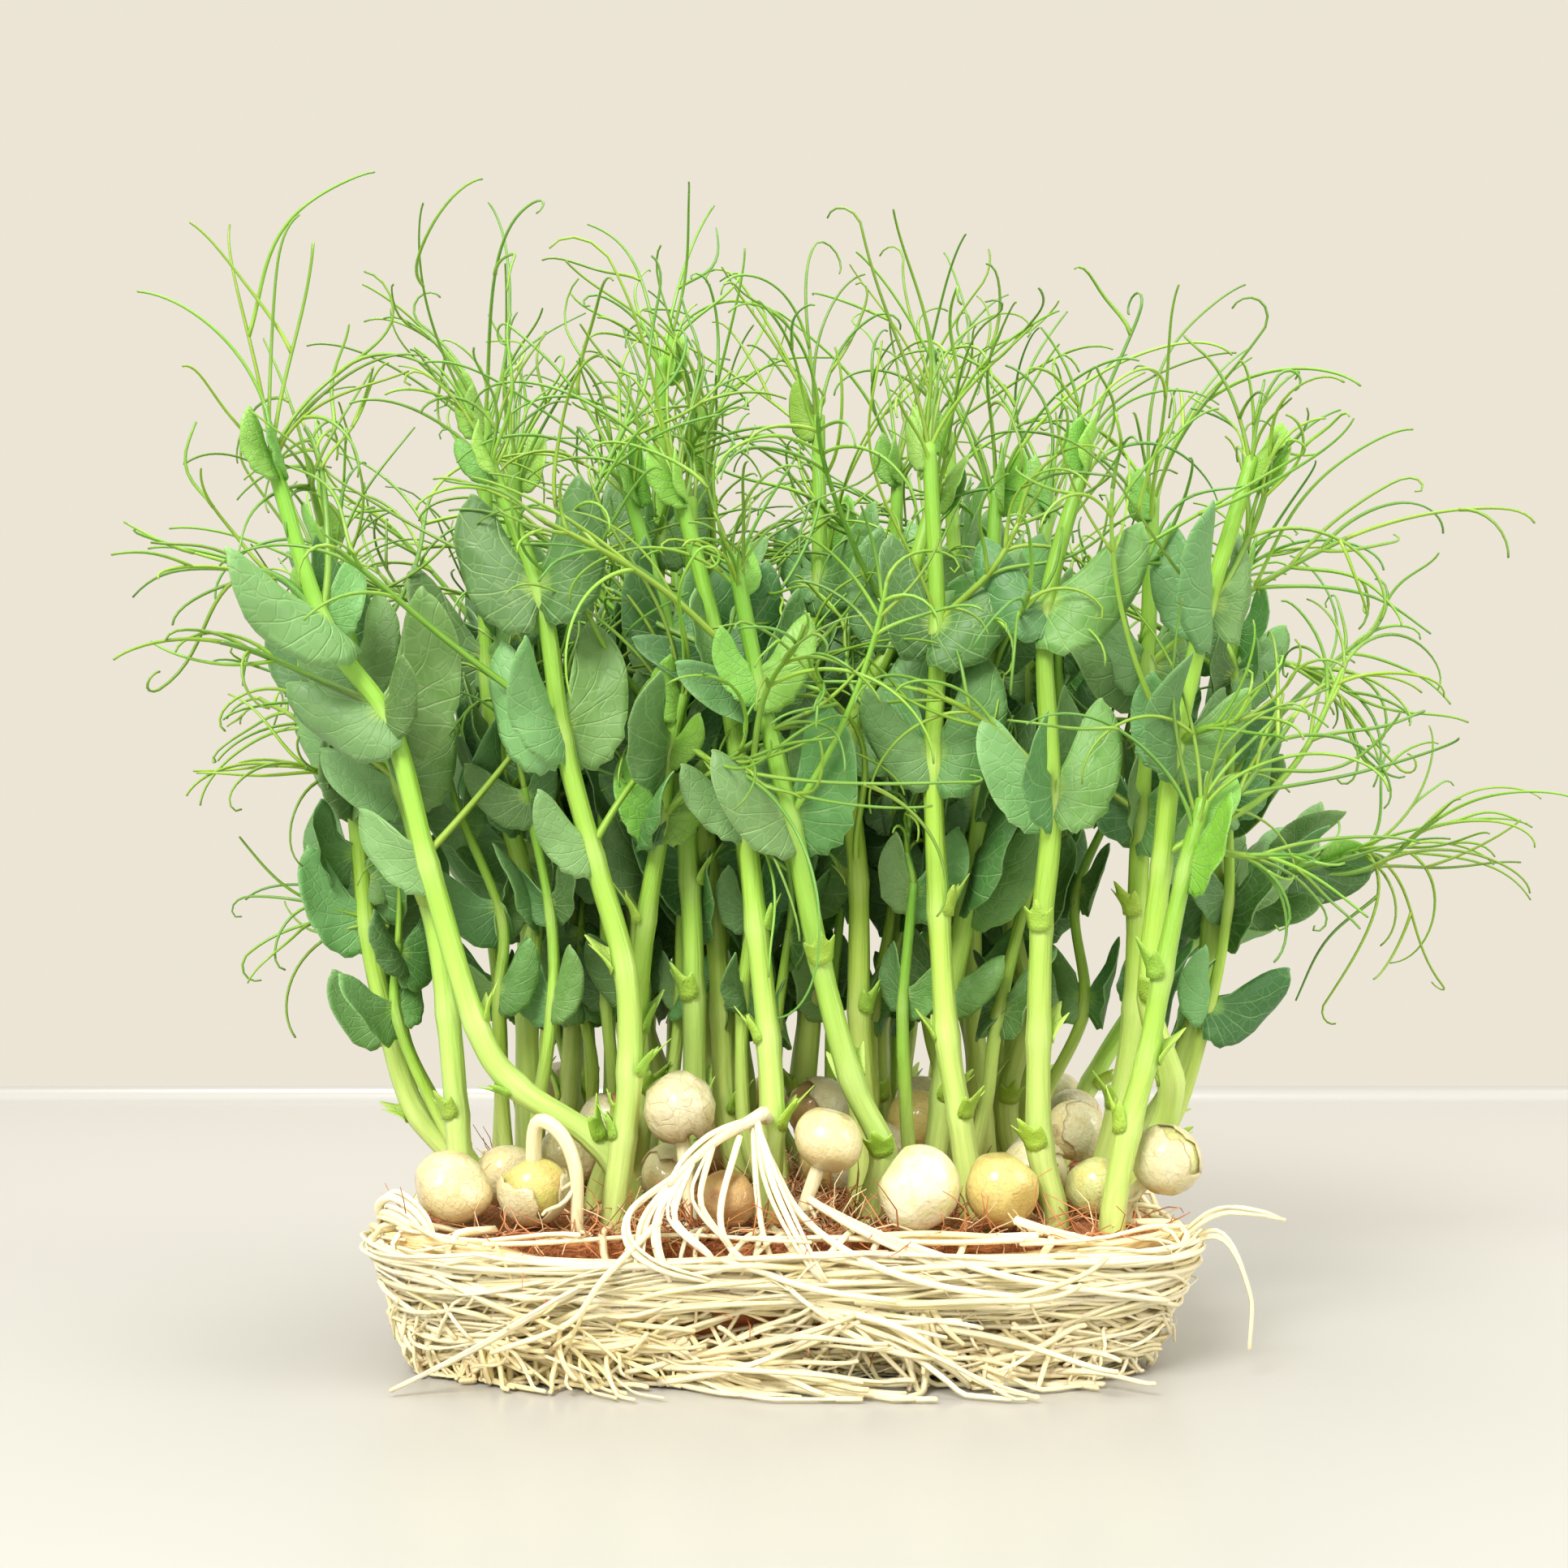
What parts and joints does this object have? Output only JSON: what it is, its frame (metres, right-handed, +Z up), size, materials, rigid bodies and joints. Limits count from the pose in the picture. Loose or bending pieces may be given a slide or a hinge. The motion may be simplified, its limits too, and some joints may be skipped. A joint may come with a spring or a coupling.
{
  "type": "pea shoot microgreens root block",
  "caption": "Block of pea shoots standing on its own roots: leafy stems with curling tendrils grow from swollen peas on a coir mat wrapped in pale roots.",
  "frame": {"origin": "centre of the flat underside of the root block, on the surface that it stands on", "axes": "+Z up along the stems; -Y is the long side that the picture looks at; +X to the viewer's right, along the block's long side"},
  "size_m": [0.2015, 0.1062, 0.1585],
  "materials": {
    "shoot_green": "satin",
    "pea_skin": "satin",
    "coir": "matte",
    "roots": "matte"
  },
  "bodies": {
    "root": {"coir_mat": "coir", "root_mat": "roots", "pea_01": "pea_skin", "pea_02": "pea_skin", "pea_03": "pea_skin", "pea_04": "pea_skin", "pea_05": "pea_skin", "pea_06": "pea_skin", "pea_07": "pea_skin", "pea_08": "pea_skin", "pea_09": "pea_skin", "pea_10": "pea_skin", "pea_11": "pea_skin", "pea_12": "pea_skin", "pea_13": "pea_skin", "pea_14": "pea_skin", "pea_15": "pea_skin", "pea_16": "pea_skin", "pea_17": "pea_skin", "pea_18": "pea_skin", "pea_19": "pea_skin", "pea_20": "pea_skin", "pea_21": "pea_skin", "pea_22": "pea_skin", "pea_23": "pea_skin", "pea_24": "pea_skin", "shoot_01": "shoot_green", "shoot_02": "shoot_green", "shoot_03": "shoot_green", "shoot_04": "shoot_green", "shoot_05": "shoot_green", "shoot_06": "shoot_green", "shoot_07": "shoot_green", "shoot_08": "shoot_green", "shoot_09": "shoot_green", "shoot_10": "shoot_green", "shoot_11": "shoot_green", "shoot_12": "shoot_green", "shoot_13": "shoot_green", "shoot_14": "shoot_green", "shoot_15": "shoot_green", "shoot_16": "shoot_green", "shoot_17": "shoot_green", "shoot_18": "shoot_green", "shoot_19": "shoot_green", "shoot_20": "shoot_green", "shoot_21": "shoot_green", "shoot_22": "shoot_green", "shoot_23": "shoot_green", "shoot_24": "shoot_green", "shoot_25": "shoot_green", "shoot_26": "shoot_green", "shoot_27": "shoot_green", "shoot_28": "shoot_green", "shoot_29": "shoot_green", "shoot_30": "shoot_green", "shoot_31": "shoot_green", "shoot_32": "shoot_green", "shoot_33": "shoot_green", "shoot_34": "shoot_green"}
  },
  "joints": []
}
